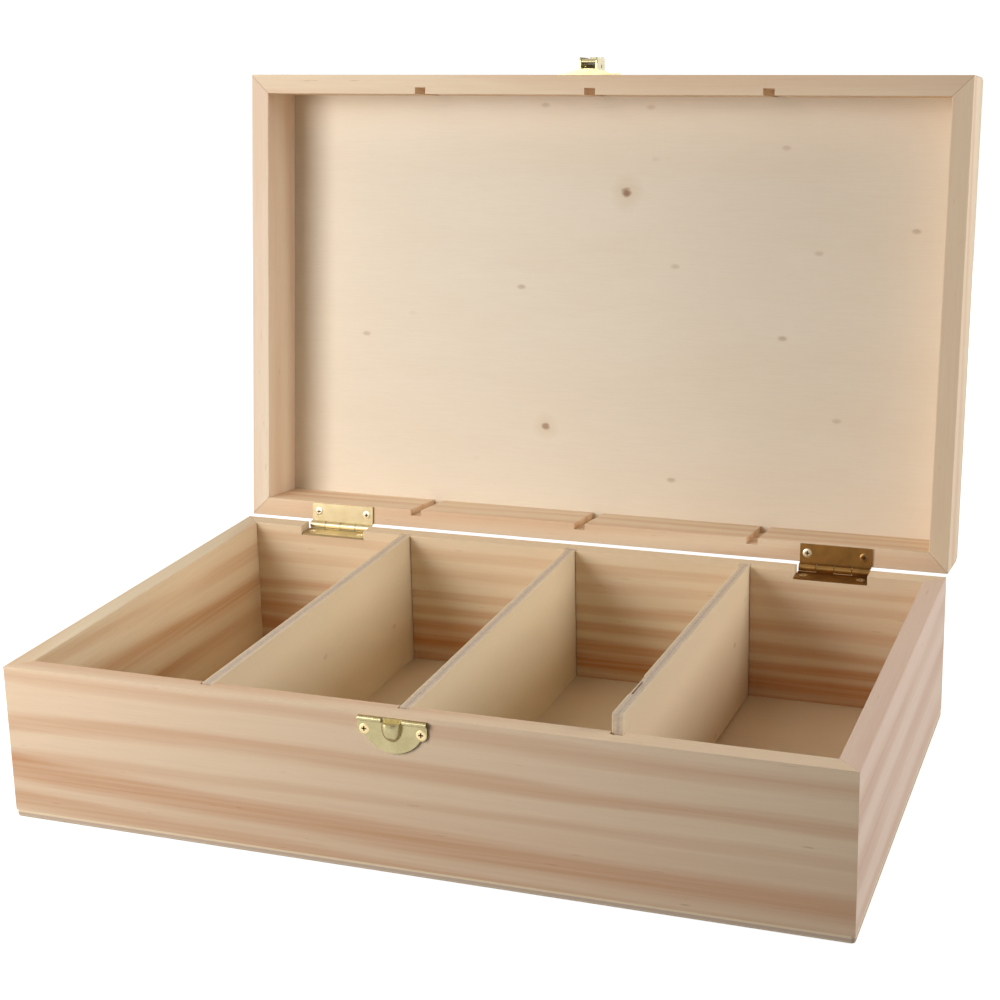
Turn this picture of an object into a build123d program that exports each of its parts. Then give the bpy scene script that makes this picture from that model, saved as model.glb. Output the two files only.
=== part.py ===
from build123d import *
import math
import os

# Lidded parts tray: a mitred pine box with a plywood floor, three lift-out plywood
# dividers, a hinged lid and a brass catch. Millimetres, +Z up, the front faces -Y.
# The origin is the centre of the underside of the box.
# Every lid piece is drawn where it lies on the closed box, on a plane swung open.

# ---- driving dimensions ----
LENGTH = 340.0            # outside, left to right
DEPTH = 215.0             # outside, front to back
WALL = 8.8                # thickness of walls and lid rails
PLY = 3.0                 # floor and lid panels
PANEL_CORNER = 1.5        # panels' corner radius
PANEL_ROUND = 0.9         # radius along a panel's outside edge
BOX_HEIGHT = 65.0         # table to rim, floor panel included
RAIL_HEIGHT = 30.0        # lid rails, without the lid panel
LID_GAP = 0.4             # rim to lid rails when closed
LID_OPEN = 96.5           # degrees from closed, at rest

GROOVE_WIDE = 5.2         # grooves for the dividers
GROOVE_DEEP = 3.0
DIVIDER_PITCH = 82.4      # middle of the box to the outer grooves
MIDDLE_GROOVE = 0.3       # the middle groove is a little right of centre
DIVIDER_THICK = 4.6
DIVIDER_LONG = 200.4
FLOOR_CLEAR = 0.05        # under the dividers
DIVIDER_TALL = BOX_HEIGHT - PLY - FLOOR_CLEAR
RAISED_TILT = 2.05        # degrees: the right divider stands proud at the front
RAISED_BACK = 99.0        # how far back that divider's lower rear corner is

HINGE_X = 120.7           # hinge centres, left and right
HINGE_LONG = 32.0
KNUCKLES = 4
KNUCKLE_GAP = 0.3
BARREL_R = 1.9
PIN_R = 0.95
PIN_CLEAR = 0.05
LEAF = 1.0
LEAF_OUT = 2.4            # pin axis to the wood that a leaf lies on
PIN_BACK = 2.1            # pin axis behind the back face
LEAF_REACH = 8.4          # back face to the leaf's free edge
LEAF_CLEAR = 0.15         # leaf's near edge to the barrel
KNUCKLE_SHOULDER = 0.07   # how far a knuckle's root bulges beside its barrel
PIN_ROUND = 0.25
GAIN = 0.4                # play in the recess at either end of the base leaf

SCREW_HEAD_R = 2.0
SCREW_R = 1.0
SCREW_LONG = 8.0
SCREW_POINT = 2.0         # length of the tapered point
HEAD_CROWN = 0.15         # head stands this far above its seat
RECESS_LONG = 2.0         # cross recess in the head
RECESS_WIDE = 0.55
RECESS_DEEP = 0.9
HINGE_SCREW_SPAN = 25.4
STRIKE_SCREW_SPAN = 22.8
CATCH_SCREW_SPAN = 24.4
STRIKE_SCREW_INSET = 5.1  # straight edge of the strike plate to its screws
CATCH_SCREW_INSET = 4.6   # and of the lid's catch plate to its own

CATCH_X = -0.9            # the catch sits a little left of centre
STRIKE_X = CATCH_X - 0.7  # and the strike plate a little further left
SHEET = 0.8               # catch sheet metal
CATCH_WIDE = 29.0
STRIKE_WIDE = 27.6
PLATE_SIDE = 7.6          # straight part of the plate's ends
PLATE_TALL = 13.7
PLATE_SHOULDER = 2.9      # plate's end to the start of its arc
PLATE_CORNER = 2.6
STRIKE_DROP = 1.6         # rim to the strike plate's top edge
CATCH_RISE = 0.8          # lid's edge to the catch plate's straight edge
NOTCH_WIDE = 8.4          # between the strike's two rolled lips
LIP_TALL = 1.9
LIP_PROUD = 1.1
HOOD_TOP = 1.1            # strike plate's top edge to the hood's flat top
HOOD_ROOT = 0.3           # how far the hood's foot is sunk in the plate
HOOD_ROUND = 0.85         # the hood's corner radius, as a share of its smaller half-size
CHEEK_OUT = 7.9           # bracket cheeks stand this far off the lid
CHEEK_LONG = 12.1
CHEEK_INNER = 3.4         # half the space between the cheeks
CHEEK_ROUND = 1.4
CHEEK_HOLE = (8.0, 4.0)   # small hole in each cheek: up from the lid's edge, out from the lid
CHEEK_HOLE_R = 0.8
END_WALL_OUT = 5.3        # the wall that the folded clasp rests on
ARCH_WIDE = 20.4
ARCH_TALL = 2.9
CLASP_PIN_R = 0.7
CLASP_PIN_OUT = 6.1       # clasp pin's axis off the lid's front
CLASP_PIN_RISE = 2.3      # clasp pin's axis above the lid's edge
CLASP_WIDE = 6.5
CLASP_REACH = 14.3        # lid's edge to the clasp's tip, folded back
CLASP_LIP = 8.3           # how far the tip's lip stands off the lid
CLASP_THICK = 0.75
CLASP_KNUCKLE_R = 1.15
TONGUE_LOW = 5.45         # underside of the folded tongue off the lid
TONGUE_HIGH = TONGUE_LOW + CLASP_THICK

# ---- worked-out places ----
FRONT = -DEPTH / 2
BACK = DEPTH / 2
LID_Z = BOX_HEIGHT + LID_GAP
AXIS_Y = BACK + PIN_BACK
AXIS_Z = LID_Z - LEAF_OUT
SWING = Location((0, AXIS_Y, AXIS_Z), (-LID_OPEN, 0, 0)) * Location((0, -AXIS_Y, -AXIS_Z))
GROOVES = [-DIVIDER_PITCH, MIDDLE_GROOVE, DIVIDER_PITCH]

os.makedirs("parts", exist_ok=True)


def save(part, name):
    """Labels a finished piece and writes its STEP file."""
    part.label = name
    export_step(part, f"parts/{name}.step")


def swung(plane):
    """The plane of the closed lid, carried to where the open lid has it."""
    return Plane(SWING * plane.location)


def same(plane):
    """The plane as it is, for the box."""
    return plane


# ---- screws: the blank cuts the screw's hole, and with a cross recess it is the screw ----
def screw_blank(length):
    """A countersunk wood screw's outer form, head at Z 0, point down."""
    with BuildPart() as blank:
        with BuildSketch(Plane.XZ):
            with BuildLine():
                Polyline(
                    (0, HEAD_CROWN),
                    (SCREW_HEAD_R - 0.5, HEAD_CROWN),
                    (SCREW_HEAD_R, 0),
                    (SCREW_R, -LEAF),
                    (SCREW_R, -length + SCREW_POINT),
                    (0, -length),
                    close=True,
                )
            make_face()
        revolve(axis=Axis.Z)
    return blank.part


BLANK = screw_blank(SCREW_LONG)

with BuildPart() as screw_form:
    add(BLANK)
    with BuildSketch(Plane.XY.offset(HEAD_CROWN)):
        Rectangle(RECESS_LONG, RECESS_WIDE)
        Rectangle(RECESS_WIDE, RECESS_LONG)
    extrude(amount=-RECESS_DEEP, taper=12, mode=Mode.SUBTRACT)
SCREW = screw_form.part


def screws(seats):
    """Separate screws, one on each seat plane."""
    with BuildPart() as group:
        with Locations(*seats):
            add(SCREW)
    return group.part


# ---- seats: a plane on each screw's surface, pointing out of it ----
def hinge_seats(centre, out, place, side):
    """Two seats on a hinge leaf, at height out, facing side along Z."""
    y = BACK - LEAF_REACH / 2
    seats = []
    for x in (centre - HINGE_SCREW_SPAN / 2, centre + HINGE_SCREW_SPAN / 2):
        seats.append(place(Plane((x, y, out), x_dir=(1, 0, 0), z_dir=(0, 0, side))))
    return seats


def front_seats(x_middle, span, z, place):
    """Two seats on a catch plate, facing the front."""
    y = FRONT - SHEET
    seats = []
    for x in (x_middle - span / 2, x_middle + span / 2):
        seats.append(place(Plane((x, y, z), x_dir=(1, 0, 0), z_dir=(0, -1, 0))))
    return seats


BASE_LEAF_TOP = AXIS_Z - LEAF_OUT + LEAF
LID_LEAF_FACE = AXIS_Z + LEAF_OUT - LEAF
STRIKE_TOP = BOX_HEIGHT - STRIKE_DROP
CATCH_EDGE = LID_Z + CATCH_RISE
STRIKE_SEATS = front_seats(STRIKE_X, STRIKE_SCREW_SPAN, STRIKE_TOP - STRIKE_SCREW_INSET, same)
CATCH_SEATS = front_seats(CATCH_X, CATCH_SCREW_SPAN, CATCH_EDGE + CATCH_SCREW_INSET, swung)
HINGES = {"hinge_left": -HINGE_X, "hinge_right": HINGE_X}
BASE_SEATS = {n: hinge_seats(x, BASE_LEAF_TOP, same, 1) for n, x in HINGES.items()}
LID_SEATS = {n: hinge_seats(x, LID_LEAF_FACE, swung, -1) for n, x in HINGES.items()}


# ---- wooden frames ----
def long_side(place, low, high, front):
    """A mitred front or back board with its three divider grooves."""
    outer = FRONT if front else BACK
    inward = 1 if front else -1
    inner = outer + inward * WALL
    with BuildPart() as board:
        with BuildSketch(place(Plane.XY.offset(low))):
            with BuildLine():
                Polyline(
                    (-LENGTH / 2, outer),
                    (LENGTH / 2, outer),
                    (LENGTH / 2 - WALL, inner),
                    (-LENGTH / 2 + WALL, inner),
                    close=True,
                )
            make_face()
            with Locations(*[(x, inner) for x in GROOVES]):
                Rectangle(GROOVE_WIDE, 2 * GROOVE_DEEP, mode=Mode.SUBTRACT)
        extrude(amount=high - low)
    return board.part


def short_side(place, low, high, left):
    """A mitred end board."""
    outer = -LENGTH / 2 if left else LENGTH / 2
    inner = outer + (WALL if left else -WALL)
    with BuildPart() as board:
        with BuildSketch(place(Plane.XY.offset(low))):
            with BuildLine():
                Polyline(
                    (outer, FRONT),
                    (outer, BACK),
                    (inner, BACK - WALL),
                    (inner, FRONT + WALL),
                    close=True,
                )
            make_face()
        extrude(amount=high - low)
    return board.part


def panel(place, low, outside):
    """A plywood panel with rounded corners and a rounded outside edge."""
    with BuildPart() as sheet:
        with BuildSketch(place(Plane.XY.offset(low))):
            RectangleRounded(LENGTH, DEPTH, PANEL_CORNER)
        extrude(amount=PLY)
        normal = place(Plane.XY).z_dir * outside
        face = sheet.faces().sort_by(Axis((0, 0, 0), normal))[-1]
        fillet(face.edges(), PANEL_ROUND)
    return sheet.part


# ---- the box ----
with BuildPart() as base_front_wall:
    add(long_side(same, PLY, BOX_HEIGHT, True))
    with Locations(*STRIKE_SEATS):
        add(BLANK, mode=Mode.SUBTRACT)
save(base_front_wall.part, "base_front_wall")

with BuildPart() as base_back_wall:
    add(long_side(same, PLY, BOX_HEIGHT, False))
    with BuildSketch(Plane.XY.offset(BOX_HEIGHT)):
        for centre in HINGES.values():
            with Locations((centre, BACK - WALL / 2)):
                Rectangle(HINGE_LONG + 2 * GAIN, WALL + 1)
    extrude(amount=-(BOX_HEIGHT - BASE_LEAF_TOP + LEAF), mode=Mode.SUBTRACT)
    for seats in BASE_SEATS.values():
        with Locations(*seats):
            add(BLANK, mode=Mode.SUBTRACT)
save(base_back_wall.part, "base_back_wall")

save(short_side(same, PLY, BOX_HEIGHT, True), "base_left_wall")
save(short_side(same, PLY, BOX_HEIGHT, False), "base_right_wall")
save(panel(same, 0, -1), "bottom_panel")

# ---- the lid ----
with BuildPart() as lid_front_rail:
    add(long_side(swung, LID_Z, LID_Z + RAIL_HEIGHT, True))
    with Locations(*CATCH_SEATS):
        add(BLANK, mode=Mode.SUBTRACT)
save(lid_front_rail.part, "lid_front_rail")

with BuildPart() as lid_rear_rail:
    add(long_side(swung, LID_Z, LID_Z + RAIL_HEIGHT, False))
    for seats in LID_SEATS.values():
        with Locations(*seats):
            add(BLANK, mode=Mode.SUBTRACT)
save(lid_rear_rail.part, "lid_rear_rail")

save(short_side(swung, LID_Z, LID_Z + RAIL_HEIGHT, True), "lid_left_rail")
save(short_side(swung, LID_Z, LID_Z + RAIL_HEIGHT, False), "lid_right_rail")
save(panel(swung, LID_Z + RAIL_HEIGHT, 1), "lid_panel")


# ---- dividers ----
def divider(x, rear, tilt):
    """A plywood divider, its lower rear corner on the floor at Y rear."""
    turn = math.radians(tilt)
    upright = Plane(
        (x, rear, PLY + FLOOR_CLEAR),
        x_dir=(0, -math.cos(turn), math.sin(turn)),
        z_dir=(-1, 0, 0),
    )
    with BuildPart() as board:
        with BuildSketch(upright):
            Rectangle(DIVIDER_LONG, DIVIDER_TALL, align=(Align.MIN, Align.MIN))
        extrude(amount=DIVIDER_THICK / 2, both=True)
    return board.part


save(divider(GROOVES[0], DIVIDER_LONG / 2, 0), "divider_left")
save(divider(GROOVES[1], DIVIDER_LONG / 2, 0), "divider_middle")
save(divider(GROOVES[2], RAISED_BACK, RAISED_TILT), "divider_right")


# ---- hinges ----
def knuckle_spans(own):
    """Start and length of the knuckles of one leaf: own is 0 or 1."""
    step = HINGE_LONG / KNUCKLES
    spans = []
    for i in range(own, KNUCKLES, 2):
        spans.append((-HINGE_LONG / 2 + i * step + KNUCKLE_GAP / 2, step - KNUCKLE_GAP))
    return spans


def hinge_leaf(centre, place, side, own, seats):
    """A leaf above (side 1) or below (side -1) the pin, with its curled knuckles."""
    low, high = side * (LEAF_OUT - LEAF), side * LEAF_OUT
    free_edge = -(PIN_BACK + LEAF_REACH)
    near_edge = -math.sqrt((BARREL_R + LEAF_CLEAR) ** 2 - (LEAF_OUT - LEAF) ** 2)
    shoulder = (near_edge / 2, side * ((LEAF_OUT + BARREL_R) / 2 + KNUCKLE_SHOULDER))

    def section(x):
        """The hinge's cross-section plane at x: local X is +Y, local Y is +Z."""
        return place(Plane((centre + x, AXIS_Y, AXIS_Z), x_dir=(0, 1, 0), z_dir=(1, 0, 0)))

    with BuildPart() as leaf:
        with BuildSketch(section(-HINGE_LONG / 2)):
            with BuildLine():
                Polyline(
                    (free_edge, low), (near_edge, low), (near_edge, high), (free_edge, high),
                    close=True,
                )
            make_face()
        extrude(amount=HINGE_LONG)
        for start, length in knuckle_spans(own):
            with BuildSketch(section(start)):
                with BuildLine():
                    Line((near_edge, low), (near_edge, high))
                    ThreePointArc((near_edge, high), shoulder, (0, side * BARREL_R))
                    Line((0, side * BARREL_R), (0, 0))
                    Line((0, 0), (near_edge, low))
                make_face()
                Circle(BARREL_R)
                Circle(PIN_R + PIN_CLEAR, mode=Mode.SUBTRACT)
            extrude(amount=length)
        with Locations(*seats):
            add(BLANK, mode=Mode.SUBTRACT)
    return leaf.part


def hinge_pin(centre):
    """The pin through all the knuckles, held in the base leaf."""
    with BuildPart() as pin:
        with BuildSketch(Plane((centre - HINGE_LONG / 2, AXIS_Y, AXIS_Z), z_dir=(1, 0, 0))):
            Circle(PIN_R)
        extrude(amount=HINGE_LONG)
        fillet(pin.edges().filter_by(GeomType.CIRCLE), PIN_ROUND)
    return pin.part


for name, centre in HINGES.items():
    save(hinge_leaf(centre, same, -1, 1, BASE_SEATS[name]), f"{name}_base_leaf")
    save(hinge_leaf(centre, swung, 1, 0, LID_SEATS[name]), f"{name}_lid_leaf")
    save(hinge_pin(centre), f"{name}_pin")
    save(screws(BASE_SEATS[name]), f"{name}_base_screws")
    save(screws(LID_SEATS[name]), f"{name}_lid_screws")


# ---- catch ----
def front_plane(place, x, z):
    """A plane on the front face at height z: local X is +X, local Y is +Z."""
    return place(Plane((x, FRONT, z), x_dir=(1, 0, 0), z_dir=(0, -1, 0)))


def level_plane(place, x, z):
    """A level plane at height z: local X is +X, local Y is outward from the front."""
    return place(Plane((x, FRONT, z), x_dir=(1, 0, 0), z_dir=(0, 0, -1)))


def plate_outline(wide, way):
    """The half-round plate's outline, its straight edge on local X, growing along way."""
    shoulder = wide / 2 - PLATE_SHOULDER
    with BuildSketch(Plane.XY) as outline:
        with Locations((0, way * PLATE_SIDE / 2)):
            RectangleRounded(wide, PLATE_SIDE, PLATE_CORNER)
        with Locations((0, way * PLATE_SIDE / 4)):
            Rectangle(wide, PLATE_SIDE / 2)
        with BuildLine():
            Line((-shoulder, 0), (-shoulder, way * PLATE_SIDE))
            ThreePointArc(
                (-shoulder, way * PLATE_SIDE), (0, way * PLATE_TALL), (shoulder, way * PLATE_SIDE)
            )
            Line((shoulder, way * PLATE_SIDE), (shoulder, 0))
            Line((shoulder, 0), (-shoulder, 0))
        make_face()
    return outline.sketch


# below the hood's top, half its width, how far it stands out from the plate
HOOD_SECTIONS = [(0, 3.8, 3.4), (2.5, 3.8, 3.8), (5.1, 3.4, 3.1), (6.9, 2.3, 1.6), (7.9, 1.0, 0.4)]


def hood():
    """The hood pressed out of the strike plate: round-cornered sections from its flat top down."""
    with BuildPart() as boss:
        for drop, wide, out in HOOD_SECTIONS:
            reach = out + HOOD_ROOT
            with BuildSketch(level_plane(same, STRIKE_X, STRIKE_TOP - HOOD_TOP - drop)):
                with Locations((0, SHEET - HOOD_ROOT)):
                    RectangleRounded(2 * wide, 2 * reach, HOOD_ROUND * min(wide, reach))
                # only the half in front of the plate is kept
                with Locations((0, SHEET - HOOD_ROOT - reach)):
                    Rectangle(3 * wide, 2 * reach, mode=Mode.SUBTRACT)
        loft()
    return boss.part


with BuildPart() as strike_plate:
    with BuildSketch(front_plane(same, STRIKE_X, STRIKE_TOP)):
        add(plate_outline(STRIKE_WIDE, -1))
    extrude(amount=SHEET)
    for start in (-STRIKE_WIDE / 2, NOTCH_WIDE / 2):
        with BuildSketch(
            Plane((STRIKE_X + start, FRONT - SHEET, STRIKE_TOP), x_dir=(0, -1, 0), z_dir=(1, 0, 0))
        ):
            with BuildLine():
                Line((-0.2, 0), (0, 0))
                ThreePointArc((0, 0), (LIP_PROUD, LIP_TALL / 2), (0, LIP_TALL))
                Line((0, LIP_TALL), (-0.2, LIP_TALL))
                Line((-0.2, LIP_TALL), (-0.2, 0))
            make_face()
        extrude(amount=(STRIKE_WIDE - NOTCH_WIDE) / 2)
    add(hood())
    with Locations(*STRIKE_SEATS):
        add(BLANK, mode=Mode.SUBTRACT)
save(strike_plate.part, "strike_plate")
save(screws(STRIKE_SEATS), "strike_screws")


def cheek_plane(x):
    """A plane across the catch at x: local X rises from the lid's edge, local Y is outward."""
    return swung(Plane((CATCH_X + x, FRONT, LID_Z), x_dir=(0, 0, 1), z_dir=(1, 0, 0)))


with BuildPart() as catch_plate:
    with BuildSketch(front_plane(swung, CATCH_X, CATCH_EDGE)):
        add(plate_outline(CATCH_WIDE, 1))
    extrude(amount=SHEET)
    # arched flange along the straight edge
    with BuildSketch(level_plane(swung, CATCH_X, CATCH_EDGE + SHEET)):
        with BuildLine():
            Line((-ARCH_WIDE / 2, 0), (ARCH_WIDE / 2, 0))
            Line((ARCH_WIDE / 2, 0), (ARCH_WIDE / 2, SHEET))
            ThreePointArc((ARCH_WIDE / 2, SHEET), (0, ARCH_TALL), (-ARCH_WIDE / 2, SHEET))
            Line((-ARCH_WIDE / 2, SHEET), (-ARCH_WIDE / 2, 0))
        make_face()
    extrude(amount=SHEET)
    # two cheeks that carry the clasp's pin
    for x in (-CHEEK_INNER - SHEET, CHEEK_INNER):
        with BuildSketch(cheek_plane(x)):
            with BuildLine():
                FilletPolyline(
                    (CATCH_RISE + 0.1, 0.4),
                    (CATCH_RISE + 0.1, CHEEK_OUT),
                    (CATCH_RISE + CHEEK_LONG, CHEEK_OUT),
                    (CATCH_RISE + CHEEK_LONG, 0.4),
                    radius=CHEEK_ROUND,
                )
                Line((CATCH_RISE + CHEEK_LONG, 0.4), (CATCH_RISE + 0.1, 0.4))
            make_face()
            with Locations((CLASP_PIN_RISE, CLASP_PIN_OUT)):
                Circle(CLASP_PIN_R + PIN_CLEAR, mode=Mode.SUBTRACT)
            with Locations(CHEEK_HOLE):
                Circle(CHEEK_HOLE_R, mode=Mode.SUBTRACT)
        extrude(amount=SHEET)
    # end wall that the folded clasp rests on
    with BuildSketch(level_plane(swung, CATCH_X, LID_Z + CATCH_RISE + CHEEK_LONG)):
        with Locations((0, (END_WALL_OUT + 0.3) / 2)):
            Rectangle(2 * CHEEK_INNER + 0.4, END_WALL_OUT - 0.3)
    extrude(amount=SHEET)
    with Locations(*CATCH_SEATS):
        add(BLANK, mode=Mode.SUBTRACT)
save(catch_plate.part, "catch_plate")
save(screws(CATCH_SEATS), "catch_screws")

# clasp: a knuckle round its pin, a tongue lying back along the lid, and a hooked tip
with BuildPart() as clasp:
    with BuildSketch(cheek_plane(-CLASP_WIDE / 2)):
        with BuildLine():
            FilletPolyline(
                (CLASP_PIN_RISE, TONGUE_LOW),
                (CLASP_REACH, TONGUE_LOW),
                (CLASP_REACH, CLASP_LIP),
                (CLASP_REACH - CLASP_THICK, CLASP_LIP),
                (CLASP_REACH - CLASP_THICK, TONGUE_HIGH),
                (CLASP_PIN_RISE, TONGUE_HIGH),
                radius=0.3,
            )
            Line((CLASP_PIN_RISE, TONGUE_HIGH), (CLASP_PIN_RISE, TONGUE_LOW))
        make_face()
        with Locations((CLASP_PIN_RISE, CLASP_PIN_OUT)):
            Circle(CLASP_KNUCKLE_R)
            Circle(CLASP_PIN_R, mode=Mode.SUBTRACT)
    extrude(amount=CLASP_WIDE)
save(clasp.part, "clasp")

with BuildPart() as clasp_pin:
    half = CHEEK_INNER + SHEET + 0.1
    with BuildSketch(cheek_plane(-half)):
        with Locations((CLASP_PIN_RISE, CLASP_PIN_OUT)):
            Circle(CLASP_PIN_R)
    extrude(amount=2 * half)
save(clasp_pin.part, "clasp_pin")
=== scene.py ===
import bmesh
import bpy
import math
from mathutils import Matrix, Vector, noise


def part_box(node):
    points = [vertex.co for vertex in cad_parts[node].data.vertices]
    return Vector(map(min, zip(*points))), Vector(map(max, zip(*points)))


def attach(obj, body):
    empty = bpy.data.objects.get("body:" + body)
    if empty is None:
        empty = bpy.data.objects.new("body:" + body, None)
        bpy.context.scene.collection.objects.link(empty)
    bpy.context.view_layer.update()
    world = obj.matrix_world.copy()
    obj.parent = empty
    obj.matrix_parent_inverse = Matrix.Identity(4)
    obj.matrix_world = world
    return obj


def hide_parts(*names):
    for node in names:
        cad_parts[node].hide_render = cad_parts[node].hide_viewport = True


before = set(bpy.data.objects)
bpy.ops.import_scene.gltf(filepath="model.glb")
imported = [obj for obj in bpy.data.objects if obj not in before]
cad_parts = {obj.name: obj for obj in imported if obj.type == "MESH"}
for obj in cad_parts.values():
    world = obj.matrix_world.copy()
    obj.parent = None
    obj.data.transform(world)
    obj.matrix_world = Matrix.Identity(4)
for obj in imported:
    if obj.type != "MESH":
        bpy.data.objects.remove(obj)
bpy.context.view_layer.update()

# A pine box with a hinged lid, plywood dividers and brass fittings, in metres.
# Every wood board keeps its CAD shape. The dividers are rebuilt ply by ply, to show their edges.

MM = 0.001
FLOOR_GLOW = 0.80                     # the floor's own light beside the box; 1 is the white backdrop
FLOOR_FAR = 1.0                       # it has faded to the backdrop this far out
LID_LEAN = math.radians(6.5)          # the open lid leans this far back past upright
DIVIDER_TILT = math.radians(2.05)     # the right divider's front end stands up by this
DIVIDER_LONG = 200.4 * MM
DIVIDER_TALL = 61.95 * MM
PLY_THICK = 3 * MM                    # the floor and the lid's panel
PLY_EDGE = 0.8                        # how strongly the middle ply shows at their edges
BOARD_ARRIS, PLY_ARRIS = 0.45, 0.2    # edge rounding, in mm

ACROSS = Vector((1, 0, 0))
BACKWARD = Vector((0, 1, 0))
UP = Vector((0, 0, 1))
LID_RISE = Vector((0, math.sin(LID_LEAN), math.cos(LID_LEAN)))
LID_OUT = Vector((0, math.cos(LID_LEAN), -math.sin(LID_LEAN)))


# ---- node helpers ----
class Graph:
    """A material's node tree, with short calls for the nodes used here."""

    def __init__(self, name):
        self.material = bpy.data.materials.new(name)
        self.material.use_nodes = True
        self.tree = self.material.node_tree
        self.shader = self.tree.nodes["Principled BSDF"]
        coordinates = self.tree.nodes.new("ShaderNodeTexCoord")
        self.position = coordinates.outputs["Object"]
        self.normal = coordinates.outputs["Normal"]

    def put(self, socket, value):
        if isinstance(value, bpy.types.NodeSocket):
            self.tree.links.new(value, socket)
        else:
            socket.default_value = value

    def math(self, operation, a, b=0.0, clamp=False):
        node = self.tree.nodes.new("ShaderNodeMath")
        node.operation = operation
        node.use_clamp = clamp
        self.put(node.inputs[0], a)
        self.put(node.inputs[1], b)
        return node.outputs[0]

    def vector(self, operation, a, b):
        node = self.tree.nodes.new("ShaderNodeVectorMath")
        node.operation = operation
        self.put(node.inputs[0], a)
        self.put(node.inputs[1], b)
        return node.outputs["Value" if operation == "DOT_PRODUCT" else "Vector"]

    def combine(self, x, y, z):
        node = self.tree.nodes.new("ShaderNodeCombineXYZ")
        for socket, value in zip(node.inputs, (x, y, z)):
            self.put(socket, value)
        return node.outputs[0]

    def noise(self, where, scale, detail=2.0, rough=0.5):
        node = self.tree.nodes.new("ShaderNodeTexNoise")
        self.put(node.inputs["Vector"], where)
        node.inputs["Scale"].default_value = scale
        node.inputs["Detail"].default_value = detail
        node.inputs["Roughness"].default_value = rough
        return node.outputs["Fac"]

    def ramp(self, value, stops):
        node = self.tree.nodes.new("ShaderNodeValToRGB")
        elements = node.color_ramp.elements
        while len(elements) < len(stops):
            elements.new(0.5)
        for element, (place, level) in zip(elements, stops):
            element.position = place
            element.color = (level, level, level, 1)
        self.put(node.inputs[0], value)
        return node.outputs[0]

    def mix(self, amount, a, b, kind="MIX"):
        node = self.tree.nodes.new("ShaderNodeMix")
        node.data_type = "RGBA"
        node.blend_type = kind
        self.put(node.inputs[0], amount)
        self.put(node.inputs[6], a)
        self.put(node.inputs[7], b)
        return node.outputs[2]

    def bump(self, height, depth, strength):
        node = self.tree.nodes.new("ShaderNodeBump")
        node.inputs["Distance"].default_value = depth
        node.inputs["Strength"].default_value = strength
        self.put(node.inputs["Height"], height)
        self.tree.links.new(node.outputs[0], self.shader.inputs["Normal"])

    def local(self, centre, along, wide):
        """Distances from centre along the grain, across the board and through it."""
        shifted = self.vector("SUBTRACT", self.position, tuple(centre))
        axes = (along, wide, along.cross(wide))
        return [self.vector("DOT_PRODUCT", shifted, tuple(a)) for a in axes]


def srgb(red, green, blue):
    """A display colour, 0 to 255, as linear light."""
    linear = []
    for level in (red, green, blue):
        c = level / 255
        linear.append(c / 12.92 if c <= 0.04045 else ((c + 0.055) / 1.055) ** 2.4)
    return (*linear, 1)


def middle(node):
    low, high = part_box(node)
    return (Vector(low) + Vector(high)) / 2


# ---- wood ----
# growth bands run from a pale colour to a darker one
CREAM, ROSE = (244, 223, 193), (236, 212, 194)
TAN, ORANGE, DUSK = (202, 150, 110), (198, 130, 66), (210, 175, 152)
PEACH, AMBER = (228, 192, 158), (208, 164, 120)
SAND, STRAW = (237, 214, 184), (237, 219, 188)
MILK, BLUSH = (248, 231, 208), (238, 210, 184)

BAND_REACH = 170 * MM                 # a band's left and right heights are this far from the middle

# height at the left, middle and right from the board's middle line, half-width (all mm), strength
FRONT_BANDS = [
    (29.5, 28.0, 26.0, 3.5, 0.45),
    (8.0, 13.5, 12.0, 4.5, 0.60),
    (-6.0, -1.0, -2.0, 3.5, 0.35),
    (-10.0, -16.0, -18.0, 6.0, 0.62),
    (-23.0, -29.0, -31.0, 5.0, 0.50),
    (-20.0, -20.0, -20.0, 20.0, 0.26),
]
BACK_BANDS = [
    (25.0, 24.0, 24.0, 3.5, 0.30),
    (14.0, 16.0, 15.0, 3.0, 0.25),
    (3.0, 5.0, 4.0, 3.5, 0.45),
    (-5.0, -4.0, -5.0, 3.0, 0.50),
    (-11.0, -13.0, -13.0, 4.5, 0.65),
    (-20.0, -21.0, -22.0, 5.0, 0.75),
    (-28.0, -29.0, -29.0, 4.0, 0.60),
    (-20.0, -20.0, -20.0, 18.0, 0.15),
]


def ring_bands(g, across, grain, sway, seed, pitch, slope, moved):
    """Evenly spaced growth bands, each soft on one side and sharper on the other."""
    tilted = g.math("ADD", across, g.math("MULTIPLY", grain, slope))
    turns = g.math("ADD", g.math("DIVIDE", g.math("ADD", tilted, sway), pitch), seed)
    profile = [(0.0, 0.35), (0.14, 0.0), (0.38, 0.05), (0.56, 0.62), (0.78, 1.0), (0.90, 0.85), (1.0, 0.35)]
    band = g.ramp(g.math("FRACT", turns), profile)
    return g.math("MULTIPLY", band, g.ramp(g.noise(moved, 38, 2), [(0.30, 0.30), (0.60, 1.0)]))


def placed_bands(g, across, grain, sway, bands):
    """Bands set one by one, each curving through its heights at the left, the middle and the right."""
    along = g.math("DIVIDE", grain, BAND_REACH)
    bowed = g.math("MULTIPLY", along, along)
    total = 0.0
    for left, centre, right, half, depth in bands:
        lift = g.math("MULTIPLY", along, (right - left) / 2 * MM)
        bow = g.math("MULTIPLY", bowed, ((left + right) / 2 - centre) * MM)
        height = g.math("ADD", g.math("ADD", lift, bow), centre * MM)
        away = g.math("SUBTRACT", g.math("ADD", across, g.math("MULTIPLY", sway, 0.85)), height)
        share = g.math("DIVIDE", g.math("ABSOLUTE", away), half * MM)
        near = g.ramp(share, [(0.0, depth), (0.5, 0.8 * depth), (1.0, 0.0)])
        total = g.math("ADD", total, near)
    return total


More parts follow.
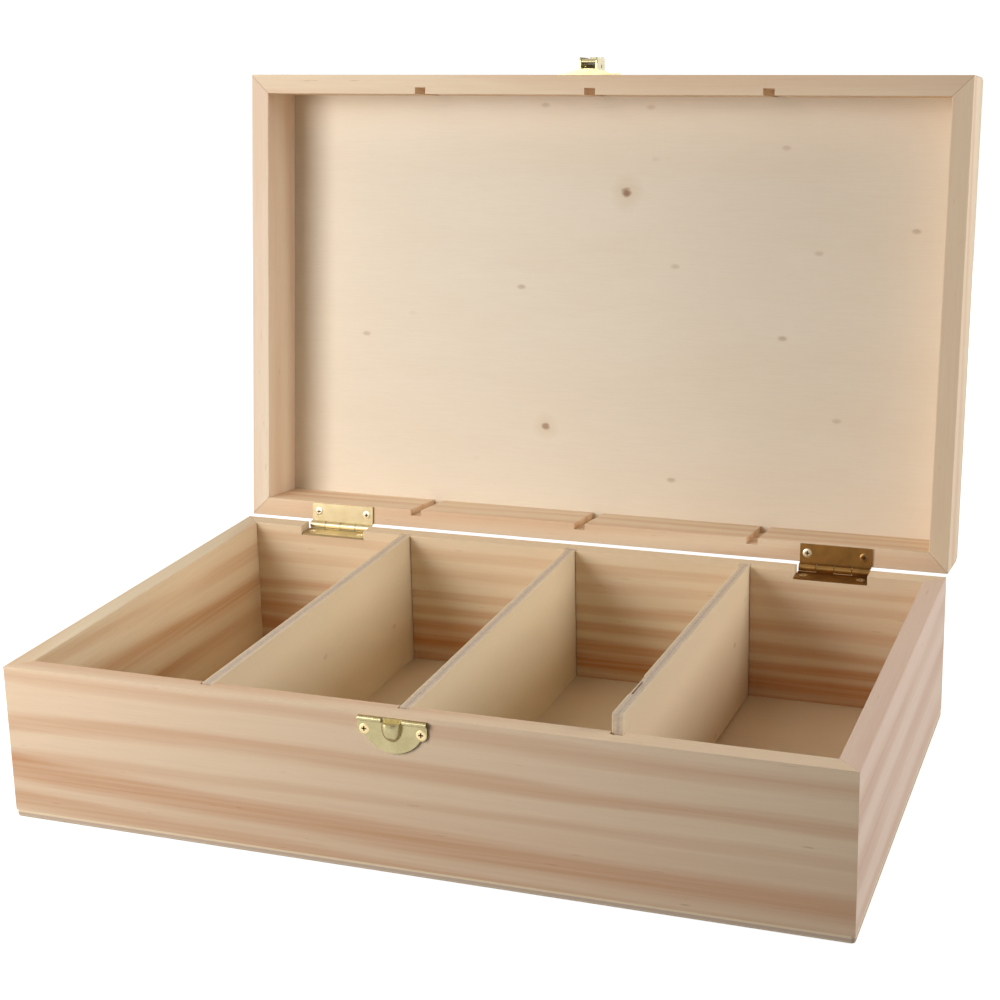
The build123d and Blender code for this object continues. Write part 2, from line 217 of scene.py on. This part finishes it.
def pine(name, centre, along, wide, seed, pale, dark, rings=None, bands=None):
    """Flat-sawn pine: broad soft growth bands with fine lines inside, fibres and resin flecks."""
    g = Graph(name)
    grain, across, through = g.local(centre, along, wide)
    stretched = g.combine(g.math("MULTIPLY", grain, 0.13), across, through)
    moved = g.vector("ADD", stretched, (seed * 1.37, seed * 0.71, seed * 0.29))
    sway = g.math("MULTIPLY", g.math("SUBTRACT", g.noise(moved, 30, 2), 0.5), 0.022)
    sway = g.math("ADD", sway, g.math("MULTIPLY", through, 0.6))
    if bands:
        band = placed_bands(g, across, grain, sway, bands)
    else:
        pitch, slope = rings
        band = ring_bands(g, across, grain, sway, seed, pitch * MM, slope, moved)
    streak_space = g.combine(g.math("MULTIPLY", grain, 0.012), across, through)
    lines = g.noise(g.vector("ADD", streak_space, (0, 0, seed)), 620, 3, 0.6)
    streak = g.ramp(lines, [(0.34, 0.0), (0.68, 1.0)])
    band = g.math("MULTIPLY", band, g.math("ADD", 0.72, g.math("MULTIPLY", streak, 0.32)), clamp=True)
    band = g.math("ADD", band, g.math("MULTIPLY", streak, 0.06), clamp=True)

    fibre_space = g.combine(g.math("MULTIPLY", grain, 0.035), across, through)
    fibre = g.noise(g.vector("ADD", fibre_space, (seed, 0, 0)), 1500, 4, 0.65)
    fleck_space = g.combine(g.math("MULTIPLY", grain, 0.10), across, through)
    fleck = g.ramp(g.noise(g.vector("ADD", fleck_space, (0, seed, 0)), 950, 1), [(0.74, 0), (0.82, 1)])

    colour = g.mix(band, srgb(*pale), srgb(*dark))
    colour = g.mix(g.ramp(fibre, [(0.35, 0.09), (0.62, 0.0)]), colour, srgb(200, 156, 116))
    colour = g.mix(g.math("MULTIPLY", fleck, 0.4), colour, srgb(168, 122, 84))
    blush = g.ramp(g.noise(moved, 14, 1), [(0.4, 0.0), (0.7, 0.2)])
    g.put(g.shader.inputs["Base Color"], g.mix(blush, colour, srgb(232, 194, 160)))
    g.put(g.shader.inputs["Roughness"], g.ramp(fibre, [(0.3, 0.66), (0.7, 0.54)]))
    g.shader.inputs["Specular IOR Level"].default_value = 0.3
    g.bump(g.math("ADD", fibre, g.math("MULTIPLY", band, -0.6)), 0.00006, 0.35)
    return g.material


def veneer(name, centre, along, wide, seed, colour, edge=0.0, thick=None, knots=()):
    """Pale plywood: faint figure, scattered pin knots, knots on one face and plies at the edges."""
    g = Graph(name)
    grain, across, through = g.local(centre, along, wide)
    stretched = g.combine(g.math("MULTIPLY", grain, 0.3), across, through)
    moved = g.vector("ADD", stretched, (seed * 1.9, seed, 0))
    figure = g.noise(moved, 22, 3, 0.6)
    base = g.mix(g.ramp(figure, [(0.35, 0.0), (0.7, 0.3)]), srgb(*colour), srgb(238, 219, 192))
    fibre_space = g.combine(g.math("MULTIPLY", grain, 0.06), across, through)
    fibre = g.noise(g.vector("ADD", fibre_space, (0, 0, seed)), 1700, 4, 0.6)
    base = g.mix(g.ramp(fibre, [(0.35, 0.05), (0.6, 0.0)]), base, srgb(196, 166, 124))

    pins = g.tree.nodes.new("ShaderNodeTexVoronoi")
    pins.voronoi_dimensions = "2D"
    pins.inputs["Scale"].default_value = 24
    pins.inputs["Randomness"].default_value = 1.0
    flat = g.combine(g.math("MULTIPLY", grain, 0.55), across, 0)
    g.put(pins.inputs["Vector"], g.vector("ADD", flat, (seed * 1.37, seed * 0.71, 0)))
    dot = g.ramp(pins.outputs["Distance"], [(0.014, 1.0), (0.036, 0.0)])
    seen = g.ramp(g.noise(moved, 45, 1), [(0.46, 0.0), (0.62, 0.42)])
    base = g.mix(g.math("MULTIPLY", dot, seen), base, srgb(164, 124, 86))
    shown = g.math("GREATER_THAN", through, 0.0)
    for knot_along, knot_wide, size, depth in knots:
        spot = g.combine(g.math("SUBTRACT", grain, knot_along),
                         g.math("SUBTRACT", across, knot_wide), 0)
        wobble = g.math("MULTIPLY", g.math("SUBTRACT", g.noise(moved, 260, 2), 0.5), 0.6 * size)
        length = g.tree.nodes.new("ShaderNodeVectorMath")
        length.operation = "LENGTH"
        g.put(length.inputs[0], spot)
        reach = g.math("DIVIDE", g.math("ADD", length.outputs["Value"], wobble), size)
        halo = g.ramp(reach, [(0.0, 0.40 * depth), (1.0, 0.0)])
        heart = g.ramp(reach, [(0.14, depth), (0.34, 0.0)])
        base = g.mix(g.math("MULTIPLY", halo, shown), base, srgb(206, 174, 126))
        base = g.mix(g.math("MULTIPLY", heart, shown), base, srgb(150, 104, 70))
    if thick:
        # the middle ply shows as a greyer line, only where the surface faces sideways
        facing = g.vector("DOT_PRODUCT", g.normal, tuple(along.cross(wide)))
        sideways = g.ramp(g.math("ABSOLUTE", facing), [(0.25, 1.0), (0.55, 0.0)])
        inner = g.math("DIVIDE", g.math("ABSOLUTE", through), thick / 2)
        core = g.ramp(inner, [(0.36, 1.0), (0.44, 0.0)])
        base = g.mix(g.math("MULTIPLY", g.math("MULTIPLY", core, sideways), edge),
                     base, srgb(196, 172, 156))
    g.put(g.shader.inputs["Base Color"], base)
    g.put(g.shader.inputs["Roughness"], g.ramp(fibre, [(0.3, 0.64), (0.7, 0.54)]))
    g.shader.inputs["Specular IOR Level"].default_value = 0.3
    g.bump(fibre, 0.00004, 0.25)
    return g.material


def core_ply(name, seed, pale, dark):
    """The sawn edge of one of a divider's inner plies, torn across its grain."""
    g = Graph(name)
    grain, across, through = g.local(Vector((0, 0, 0)), BACKWARD, UP)
    torn_space = g.combine(g.math("MULTIPLY", grain, 0.5), across, g.math("ADD", through, seed))
    torn = g.noise(torn_space, 1300, 4, 0.7)
    tear = g.ramp(torn, [(0.38, 1.0), (0.66, 0.0)])
    g.put(g.shader.inputs["Base Color"], g.mix(tear, srgb(*pale), srgb(*dark)))
    g.shader.inputs["Roughness"].default_value = 0.8
    g.bump(torn, 0.0002, 0.7)
    return g.material


# ---- metal ----
def brass(name, colour, dull, rough):
    """Brass plating: nearly even, with slow tarnish patches and fine rubbed scratches."""
    g = Graph(name)
    patches = g.noise(g.position, 170, 2, 0.5)
    scratch_space = g.vector("MULTIPLY", g.position, (0.08, 1, 1))
    scratches = g.noise(scratch_space, 3200, 2)
    tarnish = g.ramp(patches, [(0.38, 0.0), (0.72, 0.8)])
    g.put(g.shader.inputs["Base Color"], g.mix(tarnish, srgb(*colour), srgb(*dull)))
    wear = g.math("ADD", g.math("MULTIPLY", scratches, 0.10), g.math("MULTIPLY", patches, 0.14))
    g.put(g.shader.inputs["Roughness"], g.math("ADD", wear, rough - 0.12))
    g.shader.inputs["Metallic"].default_value = 1.0
    g.bump(scratches, 0.000004, 0.2)
    return g.material


def screw_brass(name, node, facing, left, right):
    """Screw heads with painted shade in the cross recess. The pair's left and right heads may differ."""
    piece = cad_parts[node]
    top = max((piece.matrix_world @ v.co).dot(facing) for v in piece.data.vertices)
    g = Graph(name)
    side = g.vector("DOT_PRODUCT", g.vector("SUBTRACT", g.position, tuple(middle(node))), tuple(ACROSS))
    tone = g.mix(g.math("GREATER_THAN", side, 0.0), srgb(*left), srgb(*right))
    sunk = g.math("SUBTRACT", top, g.vector("DOT_PRODUCT", g.position, tuple(facing)))
    # painted shade: the deeper the surface sits below the head's top, the darker it is painted, as shade in
    # the cross recess
    recess_shade = g.ramp(g.math("DIVIDE", sunk, MM), [(0.16, 0.0), (0.30, 1.0)])
    g.put(g.shader.inputs["Base Color"], g.mix(recess_shade, tone, srgb(112, 76, 40)))
    rubbed = g.math("MULTIPLY", g.noise(g.position, 900, 2), 0.2)
    g.put(g.shader.inputs["Roughness"], g.math("ADD", 0.26, rubbed))
    g.shader.inputs["Metallic"].default_value = 1.0
    return g.material


# ---- carried-over CAD nodes ----
def finish_node(node, material, round_mm):
    """Gives a CAD node its material, with flats made single faces and arrises lightly rounded."""
    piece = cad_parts[node]
    piece.data.materials.clear()
    piece.data.materials.append(material)
    weld = piece.modifiers.new("weld", "WELD")
    weld.merge_threshold = 0.000001
    flats = piece.modifiers.new("flats", "DECIMATE")
    flats.decimate_type = "DISSOLVE"
    flats.angle_limit = math.radians(0.5)
    arris = piece.modifiers.new("arris", "BEVEL")
    arris.width = round_mm * MM
    arris.segments = 2
    arris.limit_method = "ANGLE"
    arris.angle_limit = math.radians(35)
    for face in piece.data.polygons:
        face.use_smooth = False


def finish_metal_node(node, material):
    """Gives a metal CAD node its material. Curved faces are shaded smooth, edges stay crisp."""
    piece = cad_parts[node]
    piece.data.materials.clear()
    piece.data.materials.append(material)
    weld = piece.modifiers.new("weld", "WELD")
    weld.merge_threshold = 0.000001
    crisp = piece.modifiers.new("crisp", "EDGE_SPLIT")
    crisp.split_angle = math.radians(32)
    for face in piece.data.polygons:
        face.use_smooth = True


def finish_boards():
    """Each board's own cut of pine: its colours, and its bands placed singly or by pitch and slope."""
    placed = [
        ("base_front_wall", 3.1, SAND, TAN, FRONT_BANDS),
        ("base_back_wall", 7.7, STRAW, ORANGE, BACK_BANDS),
    ]
    for node, seed, pale, dark, bands in placed:
        wood = pine(f"pine_{node}", middle(node), ACROSS, UP, seed, pale, dark, bands=bands)
        finish_node(node, wood, BOARD_ARRIS)
    ringed = [
        ("base_left_wall", BACKWARD, UP, 12.3, STRAW, AMBER, (17.0, 0.04)),
        ("base_right_wall", BACKWARD, UP, 5.9, ROSE, DUSK, (24.0, -0.02)),
        ("lid_front_rail", ACROSS, LID_OUT, 21.2, CREAM, PEACH, (16.0, 0.02)),
        ("lid_rear_rail", ACROSS, LID_OUT, 17.6, CREAM, PEACH, (12.0, -0.02)),
        ("lid_left_rail", LID_RISE, LID_OUT, 9.4, MILK, BLUSH, (18.0, 0.015)),
        ("lid_right_rail", LID_RISE, LID_OUT, 26.1, CREAM, PEACH, (18.0, 0.02)),
    ]
    for node, along, wide, seed, pale, dark, rings in ringed:
        wood = pine(f"pine_{node}", middle(node), along, wide, seed, pale, dark, rings)
        finish_node(node, wood, BOARD_ARRIS)


# the lid panel's two knots, as shares of its width and height from its middle, size in mm, strength
LID_KNOTS = [(0.03, 0.25, 9.0, 0.85), (-0.08, -0.27, 7.0, 0.65)]


def finish_panels():
    """The compartment floor and the lid's panel, with its two knots."""
    low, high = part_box("lid_panel")
    wide = high[0] - low[0]
    tall = (high[2] - low[2]) / math.cos(LID_LEAN)
    knots = [(x * wide, y * tall, size * MM, depth) for x, y, size, depth in LID_KNOTS]
    floor_ply = veneer("plywood_floor", middle("bottom_panel"), ACROSS, BACKWARD, 4.2,
                       (240, 218, 184), PLY_EDGE, PLY_THICK)
    lid_ply = veneer("plywood_lid", middle("lid_panel"), ACROSS, LID_RISE, 8.8,
                     (247, 236, 217), PLY_EDGE, PLY_THICK, knots)
    finish_node("bottom_panel", floor_ply, PLY_ARRIS)
    finish_node("lid_panel", lid_ply, PLY_ARRIS)


def finish_metal():
    """The left hinge is bright, the right one brown, and the catch a greener brass."""
    bright = brass("brass_left_hinge", (194, 180, 144), (182, 166, 128), 0.40)
    dark = brass("brass_right_hinge", (160, 120, 66), (128, 96, 52), 0.36)
    catch = brass("brass_catch", (172, 162, 124), (158, 147, 108), 0.26)
    pale, gold, brown = (232, 220, 188), (216, 196, 150), (150, 116, 72)
    toward_front, lid_front = -LID_OUT, LID_RISE
    screws = {
        "hinge_left_base_screws": (UP, pale, pale),
        "hinge_left_lid_screws": (toward_front, pale, pale),
        "hinge_right_base_screws": (UP, gold, gold),
        "hinge_right_lid_screws": (toward_front, pale, brown),
        "strike_screws": (-BACKWARD, gold, gold),
        "catch_screws": (lid_front, gold, gold),
    }
    for node, (facing, left, right) in screws.items():
        finish_metal_node(node, screw_brass(f"brass_{node}", node, facing, left, right))
    for side, plating in (("left", bright), ("right", dark)):
        for part in ("base_leaf", "lid_leaf", "pin"):
            finish_metal_node(f"hinge_{side}_{part}", plating)
    for node in ("strike_plate", "catch_plate", "clasp", "clasp_pin"):
        finish_metal_node(node, catch)


# ---- dividers, ply by ply ----
PLY_SLOTS = [0, 1, 2, 1, 0]
PLIES = [(-2.30, -1.72), (-1.72, -0.60), (-0.60, 0.60), (0.60, 1.72), (1.72, 2.30)]    # mm from the middle
CHIP_START, CHIP_END, CHIP_DEEP = 22 * MM, 42 * MM, 0.5 * MM      # worn face veneer
VOID_END, VOID_DEEP = 37 * MM, 2.2 * MM                           # gap in the ply beside it


def divider(name, body, tilt, materials, chipped):
    """Five plies with slightly uneven sawn edges. A chipped one has a worn veneer beside a void."""
    low, high = (Vector(v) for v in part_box(name))
    origin = Vector(((low.x + high.x) / 2, high.y, low.z))
    forward = Vector((0, -math.cos(tilt), math.sin(tilt)))
    rise = Vector((0, math.sin(tilt), math.cos(tilt)))
    if tilt:
        origin.y = high.y - DIVIDER_TALL * math.sin(tilt)
    mesh = bmesh.new()
    steps = 200
    for number, (left, right) in enumerate(PLIES):
        outer = number in (0, len(PLIES) - 1)
        rows = []
        for i in range(steps + 1):
            run = DIVIDER_LONG * i / steps
            wander = noise.noise(Vector((run * 160, number * 7.3, tilt * 90)))
            drop = (0.06 + 0.05 * wander) * MM if outer else (0.12 + 0.10 * wander) * MM
            back_from_front = DIVIDER_LONG - run
            if chipped and number == 0 and CHIP_START < back_from_front < CHIP_END:
                drop += CHIP_DEEP
            if chipped and number == 1 and CHIP_START < back_from_front < VOID_END:
                drop += VOID_DEEP
            inset = 0.04 * MM if outer else 0.10 * MM
            place = min(max(run, inset), DIVIDER_LONG - inset)
            row = []
            for x, height in ((left, 0), (right, 0), (right, 1), (left, 1)):
                tall = (DIVIDER_TALL - drop) if height else 0.0
                row.append(mesh.verts.new(origin + ACROSS * (x * MM) + forward * place + rise * tall))
            rows.append(row)
        for a, b in zip(rows, rows[1:]):
            for k in range(4):
                after = (k + 1) % 4
                side = mesh.faces.new((a[k], a[after], b[after], b[k]))
                side.material_index = PLY_SLOTS[number]
        for cap in (rows[0][::-1], rows[-1]):
            mesh.faces.new(cap).material_index = PLY_SLOTS[number]
    bmesh.ops.recalc_face_normals(mesh, faces=mesh.faces)
    data = bpy.data.meshes.new(f"{name}_plies")
    mesh.to_mesh(data)
    mesh.free()
    piece = bpy.data.objects.new(f"{name}_plies", data)
    bpy.context.scene.collection.objects.link(piece)
    for material in materials:
        data.materials.append(material)
    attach(piece, body)
    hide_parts(name)


def build_dividers():
    for name, seed, tilt in (("divider_left", 2.0, 0.0), ("divider_middle", 5.0, 0.0),
                             ("divider_right", 9.0, DIVIDER_TILT)):
        face = veneer(f"veneer_{name}", middle(name), BACKWARD, UP, seed, (230, 214, 184))
        cross = core_ply(f"cross_{name}", seed, (226, 209, 184), (206, 188, 162))
        heart = core_ply(f"heart_{name}", seed + 3, (216, 196, 182), (194, 172, 158))
        divider(name, name, tilt, (face, cross, heart), tilt > 0)


# ---- camera, floor and light ----
CAMERA_PLACE = (0.2706, -0.7244, 0.3429)
CAMERA_TURN = (21.10, 15.24, -1.54)    # azimuth, elevation and roll, in degrees
CAMERA_LENS = 70.65
CAMERA_SHIFT = (0.0277, -0.0353)


def place_camera():
    """The viewing angle: azimuth, elevation and roll about the line of sight."""
    azimuth, elevation, roll = (math.radians(turn) for turn in CAMERA_TURN)
    back = Vector((math.sin(azimuth) * math.cos(elevation),
                   -math.cos(azimuth) * math.cos(elevation), math.sin(elevation)))
    right = Vector((math.cos(azimuth), math.sin(azimuth), 0))
    up = back.cross(right)
    rolled_right = right * math.cos(roll) + up * math.sin(roll)
    rolled_up = up * math.cos(roll) - right * math.sin(roll)
    camera = bpy.data.objects.new("camera", bpy.data.cameras.new("camera"))
    turned = Matrix((rolled_right, rolled_up, back)).transposed().to_4x4()
    camera.matrix_world = Matrix.Translation(CAMERA_PLACE) @ turned
    camera.data.lens = CAMERA_LENS
    camera.data.shift_x, camera.data.shift_y = CAMERA_SHIFT
    camera.data.clip_start = 0.02
    bpy.context.scene.collection.objects.link(camera)
    bpy.context.scene.camera = camera


def build_floor():
    """A plain pale floor that meets the backdrop. Its glow is seen but does not light the box."""
    mesh = bmesh.new()
    bmesh.ops.create_grid(mesh, x_segments=1, y_segments=1, size=40.0)
    data = bpy.data.meshes.new("floor")
    mesh.to_mesh(data)
    mesh.free()
    floor = bpy.data.objects.new("floor", data)
    floor.location.z = -0.0002
    floor.visible_diffuse = False
    bpy.context.scene.collection.objects.link(floor)
    g = Graph("pale_floor")
    distance = g.math("SQRT", g.vector("DOT_PRODUCT", g.position, g.position))
    fade = g.math("DIVIDE", distance, FLOOR_FAR)
    g.shader.inputs["Base Color"].default_value = (0.6, 0.6, 0.6, 1)
    g.shader.inputs["Roughness"].default_value = 0.9
    g.shader.inputs["Emission Color"].default_value = (1, 1, 1, 1)
    g.put(g.shader.inputs["Emission Strength"], g.ramp(fade, [(0.2, FLOOR_GLOW), (1.0, 1.0)]))
    data.materials.append(g.material)


def soft_light(name, place, size, power, target=(0, 0, 0.1)):
    lamp = bpy.data.objects.new(name, bpy.data.lights.new(name, "AREA"))
    lamp.data.shape = "SQUARE"
    lamp.data.size = size
    lamp.data.energy = power
    lamp.data.color = LAMP_TINT
    lamp.location = place
    lamp.visible_camera = False
    lamp.rotation_euler = (Vector(target) - Vector(place)).to_track_quat("-Z", "Y").to_euler()
    bpy.context.scene.collection.objects.link(lamp)


# name, place, size, watts
LIGHTS = [
    ("key", (-0.43, -0.58, 0.35), 0.40, 3.4),
    ("near_left", (-0.40, -0.42, 0.46), 0.30, 1.0),
    ("low_left", (-0.44, -0.38, 0.12), 0.20, 0.40),
    ("right_side", (1.10, 0.14, 0.45), 0.50, 7.4),
    ("top_left", (-0.35, 0.00, 0.90), 0.50, 0.9),
    ("top", (0.00, 0.00, 1.50), 0.90, 0.4),
    ("behind", (-0.10, 1.25, 0.35), 0.90, 5.5),
]
WORLD_LIGHT = 0.06
GLOSS_LIGHT = 0.45
LAMP_TINT = (1.0, 0.965, 0.93)         # slightly warm


def light_scene():
    """Soft studio light, strongest from the front left, before a white backdrop."""
    world = bpy.data.worlds.new("studio")
    world.use_nodes = True
    tree = world.node_tree
    light = tree.nodes["Background"]
    light.inputs["Color"].default_value = (1, 1, 1, 1)
    path = tree.nodes.new("ShaderNodeLightPath")
    level = WORLD_LIGHT
    for seen_by, strength in (("Is Glossy Ray", GLOSS_LIGHT), ("Is Camera Ray", 1.0)):
        choice = tree.nodes.new("ShaderNodeMix")
        tree.links.new(path.outputs[seen_by], choice.inputs[0])
        choice.inputs[3].default_value = strength
        if isinstance(level, float):
            choice.inputs[2].default_value = level
        else:
            tree.links.new(level, choice.inputs[2])
        level = choice.outputs[0]
    tree.links.new(level, light.inputs["Strength"])
    bpy.context.scene.world = world
    for name, place, size, power in LIGHTS:
        soft_light(name, place, size, power)
    bpy.context.scene.view_settings.view_transform = "Standard"


finish_boards()
finish_panels()
finish_metal()
build_dividers()
place_camera()
build_floor()
light_scene()
